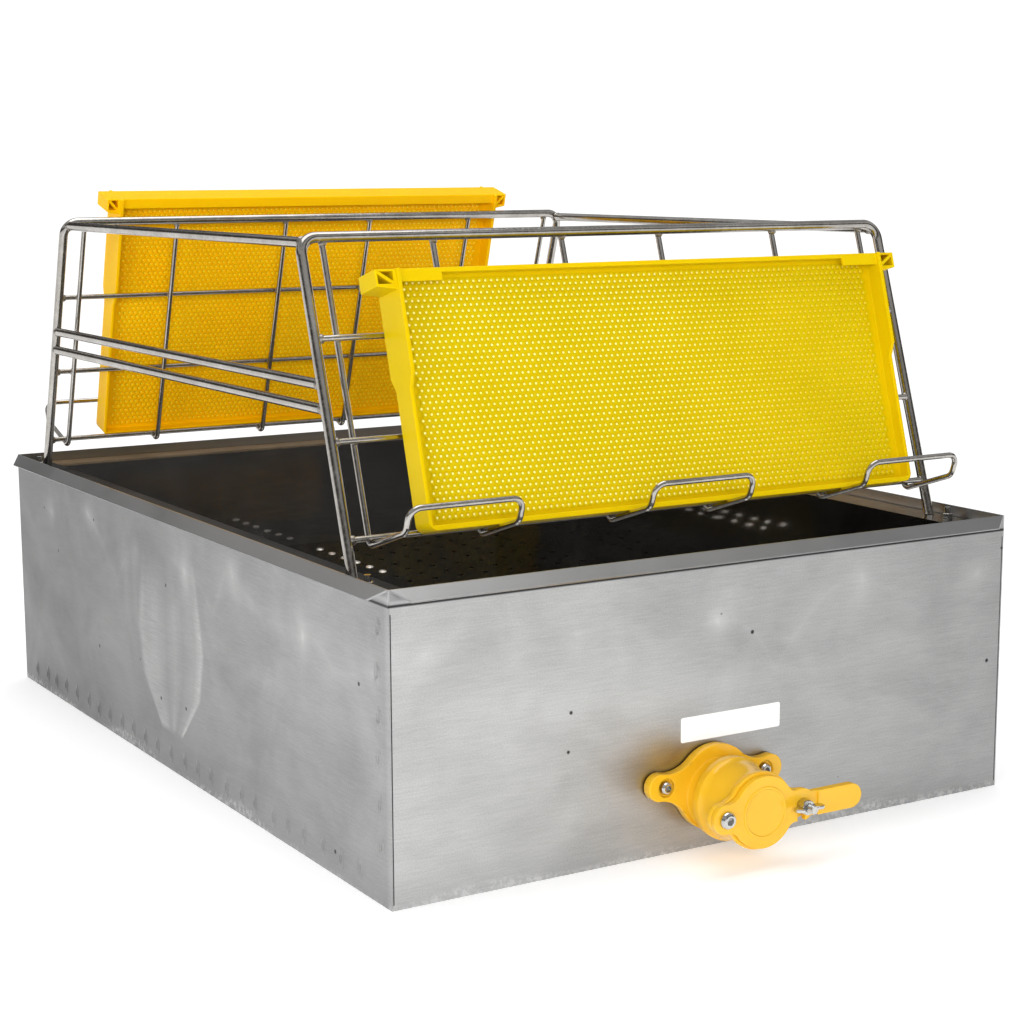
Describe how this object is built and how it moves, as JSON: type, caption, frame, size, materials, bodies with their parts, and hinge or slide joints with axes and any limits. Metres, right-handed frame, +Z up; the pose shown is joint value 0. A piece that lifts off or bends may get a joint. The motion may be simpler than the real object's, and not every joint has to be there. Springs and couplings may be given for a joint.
{
  "type": "uncapping tank",
  "caption": "Open rectangular sheet-steel uncapping tank with a lift-out strainer tray, a wire rack holding comb frames and a swing-blade honey gate in the front wall.",
  "frame": {"origin": "centre of the tank's underside", "axes": "+X to the right along the front wall, +Y towards the back, +Z up; the honey gate is on the -Y wall"},
  "size_m": [0.579, 0.8713, 0.4824],
  "materials": {
    "tank_sheet": "satin",
    "tray_sheet": "polished",
    "rack_rod": "polished",
    "fastener_steel": "satin",
    "gate_plastic": "glossy",
    "comb_plastic": "glossy",
    "seal_rubber": "matte"
  },
  "bodies": {
    "tank": {"floor_pan": "tank_sheet", "front_wall": "tank_sheet", "back_wall": "tank_sheet", "left_wall": "tank_sheet", "right_wall": "tank_sheet", "rail_left": "tank_sheet", "rail_right": "tank_sheet", "gate_gasket": "seal_rubber", "gate_housing": "gate_plastic", "outlet_seal": "seal_rubber", "ear_bolts": "fastener_steel", "ear_nuts": "fastener_steel", "pivot_bolt": "fastener_steel", "pivot_nut": "fastener_steel", "clamp_stud": "fastener_steel"},
    "gate_blade": {"gate_blade": "gate_plastic"},
    "wing_nut": {"wing_nut": "fastener_steel"},
    "tray": {"tray_floor": "tray_sheet", "tray_front": "tray_sheet", "tray_back": "tray_sheet", "tray_left": "tray_sheet", "tray_right": "tray_sheet", "stop_studs": "fastener_steel", "stop_nuts": "fastener_steel"},
    "rack": {"front_hoop": "rack_rod", "back_hoop": "rack_rod", "tie_left": "rack_rod", "tie_right": "rack_rod", "side_rail_low": "rack_rod", "side_rail_high": "rack_rod", "front_loop_left": "rack_rod", "front_loop_middle": "rack_rod", "front_loop_right": "rack_rod", "back_loop_left": "rack_rod", "back_loop_middle": "rack_rod", "back_loop_right": "rack_rod", "front_wire_low": "rack_rod", "front_wire_mid": "rack_rod", "front_wire_top": "rack_rod", "back_wire_low": "rack_rod", "back_wire_mid": "rack_rod", "back_wire_top": "rack_rod"},
    "front_comb": {"front_comb": "comb_plastic"},
    "back_comb": {"back_comb": "comb_plastic"}
  },
  "joints": [
    {"name": "gate_swing", "type": "hinge", "parent": "tank", "child": "gate_blade", "pos_m": [-0.045, -0.4543, 0.0435], "axis": [0, -1, 0], "range_deg": [0, 80]},
    {"name": "wing_nut_turn", "type": "hinge", "parent": "tank", "child": "wing_nut", "pos_m": [0.023, -0.4625, 0.0435], "axis": [0, 1, 0], "continuous": true},
    {"name": "tray_lift", "type": "slide", "parent": "tank", "child": "tray", "axis": [0, 0, 1], "range_m": [0, 0.25]},
    {"name": "rack_lift", "type": "slide", "parent": "tray", "child": "rack", "axis": [0, 0, 1], "range_m": [0, 0.2]},
    {"name": "front_comb_lift", "type": "slide", "parent": "rack", "child": "front_comb", "axis": [0, 0.2749, 0.9615], "range_m": [0, 0.25]},
    {"name": "back_comb_lift", "type": "slide", "parent": "rack", "child": "back_comb", "axis": [0, -0.2749, 0.9615], "range_m": [0, 0.28]}
  ]
}
